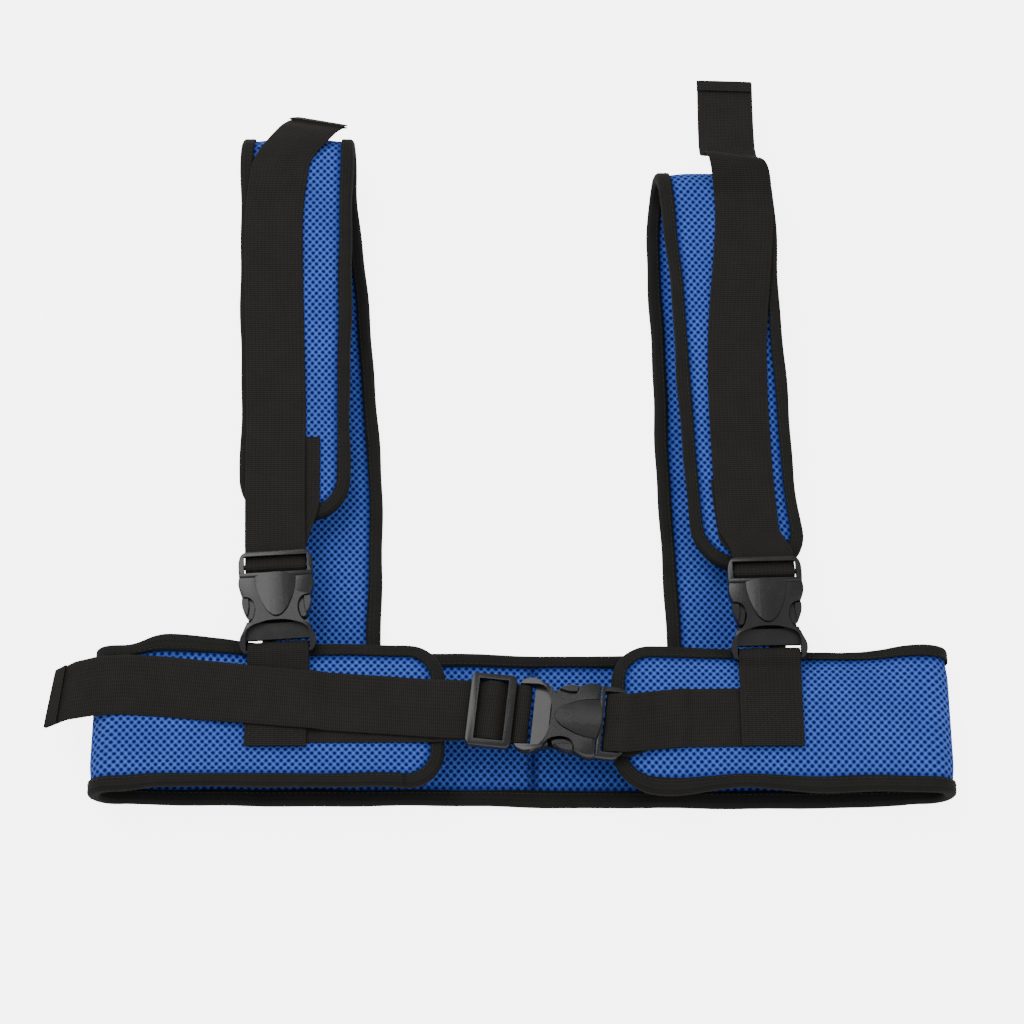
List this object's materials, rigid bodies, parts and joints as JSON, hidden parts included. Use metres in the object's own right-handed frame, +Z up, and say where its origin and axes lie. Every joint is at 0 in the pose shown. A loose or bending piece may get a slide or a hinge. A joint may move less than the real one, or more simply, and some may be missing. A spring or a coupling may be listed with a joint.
{
  "type": "gait belt with shoulder straps",
  "caption": "Padded transfer and gait belt with over-shoulder straps, webbing adjusters and side-release buckles, folded flat.",
  "frame": {"origin": "middle of the back panel's underside, on the face that lies on the table", "axes": "+X along the belt, to the side of the fixed webbing; +Y towards the shoulder straps' folds; +Z up off the table"},
  "size_m": [0.5535, 0.4917, 0.0474],
  "materials": {
    "spacer_mesh": "matte",
    "foam": "matte",
    "binding_tape": "matte",
    "webbing": "matte",
    "buckle_plastic": "satin"
  },
  "bodies": {
    "belt": {"belt_left_outer_mesh": "spacer_mesh", "belt_left_foam": "foam", "belt_left_lining": "spacer_mesh", "belt_right_outer_mesh": "spacer_mesh", "belt_right_foam": "foam", "belt_right_lining": "spacer_mesh", "belt_edge_binding": "binding_tape", "left_strap_outer_mesh": "spacer_mesh", "left_strap_foam": "foam", "left_strap_lining": "spacer_mesh", "left_strap_binding": "binding_tape", "right_strap_outer_mesh": "spacer_mesh", "right_strap_foam": "foam", "right_strap_lining": "spacer_mesh", "right_strap_binding": "binding_tape", "waist_webbing_adjustable": "webbing", "waist_webbing_fixed": "webbing", "left_stub_webbing": "webbing", "right_stub_webbing": "webbing", "left_strap_webbing": "webbing", "right_strap_webbing": "webbing", "waist_buckle_frame": "buckle_plastic", "left_buckle_housing": "buckle_plastic", "right_buckle_housing": "buckle_plastic"},
    "waist_housing": {"waist_buckle_housing": "buckle_plastic"},
    "tri_glide": {"waist_tri_glide": "buckle_plastic"},
    "left_male": {"left_buckle_frame": "buckle_plastic"},
    "right_male": {"right_buckle_frame": "buckle_plastic"},
    "waist_prong_lower": {"waist_prong_lower": "buckle_plastic"},
    "waist_prong_upper": {"waist_prong_upper": "buckle_plastic"},
    "left_prong_inner": {"left_prong_inner": "buckle_plastic"},
    "left_prong_outer": {"left_prong_outer": "buckle_plastic"},
    "right_prong_inner": {"right_prong_inner": "buckle_plastic"},
    "right_prong_outer": {"right_prong_outer": "buckle_plastic"}
  },
  "joints": [
    {"name": "waist_release", "type": "slide", "parent": "belt", "child": "waist_housing", "axis": [-0.9945, 0.104, -0.0109], "range_m": [0, 0.032], "deforming": ["waist_prong_lower", "waist_prong_upper", "waist_webbing_adjustable"]},
    {"name": "tri_glide_adjust", "type": "slide", "parent": "waist_housing", "child": "tri_glide", "axis": [-0.9945, 0.104, -0.0109], "range_m": [0, 0.035], "deforming": ["waist_webbing_adjustable"]},
    {"name": "left_release", "type": "slide", "parent": "belt", "child": "left_male", "axis": [-0.061, 0.9981, 0], "range_m": [0, 0.032], "deforming": ["left_prong_inner", "left_prong_outer", "left_strap_webbing"]},
    {"name": "right_release", "type": "slide", "parent": "belt", "child": "right_male", "axis": [-0.0262, 0.9997, 0], "range_m": [0, 0.032], "deforming": ["right_prong_inner", "right_prong_outer", "right_strap_webbing"]},
    {"name": "waist_prong_lower_press", "type": "hinge", "parent": "belt", "child": "waist_prong_lower", "pos_m": [0.04445, -0.02031, 0.04118], "axis": [0, -0.1047, -0.9945], "range_deg": [0, 7], "stiffness_Nm_per_rad": 0.05},
    {"name": "waist_prong_upper_press", "type": "hinge", "parent": "belt", "child": "waist_prong_upper", "pos_m": [0.04755, 0.00906, 0.03809], "axis": [0, 0.1047, 0.9945], "range_deg": [0, 7], "stiffness_Nm_per_rad": 0.05},
    {"name": "left_prong_inner_press", "type": "hinge", "parent": "left_male", "child": "left_prong_inner", "pos_m": [-0.13787, 0.08932, 0.03501], "axis": [0, 0, -1], "range_deg": [0, 7], "stiffness_Nm_per_rad": 0.05},
    {"name": "left_prong_outer_press", "type": "hinge", "parent": "left_male", "child": "left_prong_outer", "pos_m": [-0.16751, 0.0875, 0.03501], "axis": [0, 0, 1], "range_deg": [0, 7], "stiffness_Nm_per_rad": 0.05},
    {"name": "right_prong_inner_press", "type": "hinge", "parent": "right_male", "child": "right_prong_inner", "pos_m": [0.13637, 0.08409, 0.03501], "axis": [0, 0, 1], "range_deg": [0, 7], "stiffness_Nm_per_rad": 0.05},
    {"name": "right_prong_outer_press", "type": "hinge", "parent": "right_male", "child": "right_prong_outer", "pos_m": [0.16606, 0.08487, 0.03501], "axis": [0, 0, -1], "range_deg": [0, 7], "stiffness_Nm_per_rad": 0.05}
  ]
}
